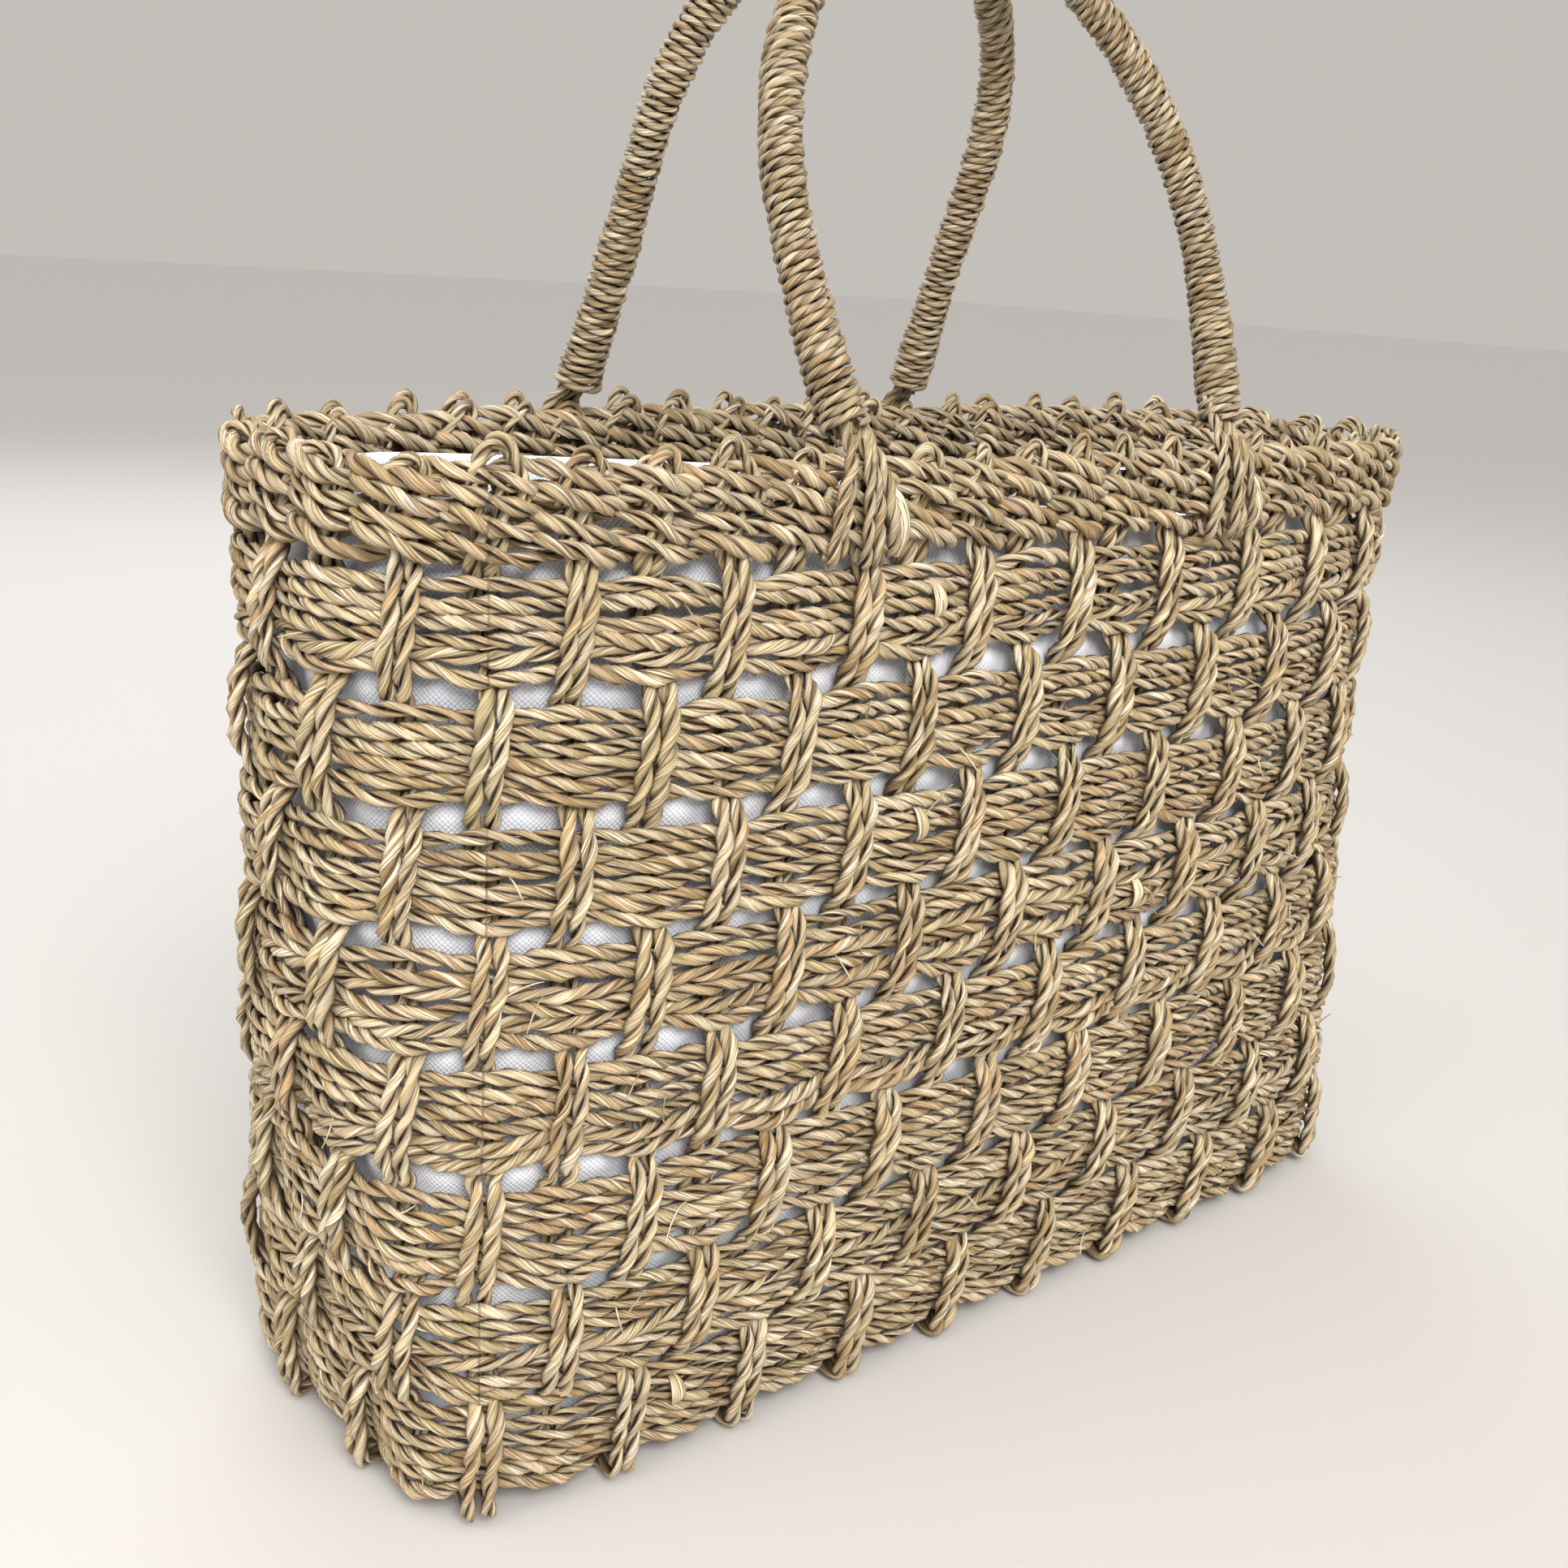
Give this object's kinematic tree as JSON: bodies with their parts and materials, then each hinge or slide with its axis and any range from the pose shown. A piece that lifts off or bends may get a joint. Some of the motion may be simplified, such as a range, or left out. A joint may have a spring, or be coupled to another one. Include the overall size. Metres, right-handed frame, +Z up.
{
  "type": "woven market basket",
  "caption": "Seagrass market tote of wide plain-woven cord bands with a twined, looped rim, a cotton liner and two swinging wrapped handles.",
  "frame": {"origin": "under the middle of the base, on the surface that the basket stands on", "axes": "+X along the long side, +Y across the basket from front to back, +Z up"},
  "size_m": [0.4458, 0.1642, 0.4546],
  "materials": {
    "seagrass_bands": "dry two-ply twisted plant cord, satin",
    "seagrass_warps": "dry two-ply twisted plant cord, satin",
    "seagrass_rim": "dry twined plant cord, satin",
    "seagrass_handles": "thin plant cord wound tightly, satin",
    "cotton": "plain-woven unbleached white cotton, matt"
  },
  "bodies": {
    "basket": {"wall_band_1": "seagrass_bands", "wall_band_2": "seagrass_bands", "wall_band_3": "seagrass_bands", "wall_band_4": "seagrass_bands", "wall_band_5": "seagrass_bands", "wall_band_6": "seagrass_bands", "wall_band_7": "seagrass_bands", "wall_band_8": "seagrass_bands", "rim_row_1": "seagrass_rim", "rim_row_2": "seagrass_rim", "rim_row_3": "seagrass_rim", "rim_row_4": "seagrass_rim", "base_band_1": "seagrass_bands", "base_band_2": "seagrass_bands", "base_band_3": "seagrass_bands", "base_band_4": "seagrass_bands", "cross_warp_1": "seagrass_warps", "cross_warp_2": "seagrass_warps", "cross_warp_3": "seagrass_warps", "cross_warp_4": "seagrass_warps", "cross_warp_5": "seagrass_warps", "cross_warp_6": "seagrass_warps", "cross_warp_7": "seagrass_warps", "cross_warp_8": "seagrass_warps", "cross_warp_9": "seagrass_warps", "cross_warp_10": "seagrass_warps", "cross_warp_11": "seagrass_warps", "cross_warp_12": "seagrass_warps", "cross_warp_13": "seagrass_warps", "cross_warp_14": "seagrass_warps", "cross_warp_15": "seagrass_warps", "cross_warp_16": "seagrass_warps", "cross_warp_17": "seagrass_warps", "left_warp_1": "seagrass_warps", "right_warp_1": "seagrass_warps", "left_warp_2": "seagrass_warps", "right_warp_2": "seagrass_warps", "left_warp_3": "seagrass_warps", "right_warp_3": "seagrass_warps", "left_warp_4": "seagrass_warps", "right_warp_4": "seagrass_warps", "left_warp_5": "seagrass_warps", "right_warp_5": "seagrass_warps", "corner_warp_front_left": "seagrass_warps", "corner_warp_front_right": "seagrass_warps", "corner_warp_back_right": "seagrass_warps", "corner_warp_back_left": "seagrass_warps", "cotton_liner": "cotton", "front_handle_tails_left": "seagrass_handles", "front_handle_tails_right": "seagrass_handles", "back_handle_tails_left": "seagrass_handles", "back_handle_tails_right": "seagrass_handles"},
    "front_handle": {"front_handle_wrap": "seagrass_handles", "front_handle_core": "seagrass_handles"},
    "back_handle": {"back_handle_wrap": "seagrass_handles", "back_handle_core": "seagrass_handles"}
  },
  "joints": [
    {"name": "front_handle_swing", "type": "hinge", "parent": "basket", "child": "front_handle", "pos_m": [-0.01, -0.06526, 0.3021], "axis": [1, 0, 0], "range_deg": [0, 110]},
    {"name": "back_handle_swing", "type": "hinge", "parent": "basket", "child": "back_handle", "pos_m": [-0.014, 0.06526, 0.3021], "axis": [-1, 0, 0], "range_deg": [0, 110]}
  ]
}
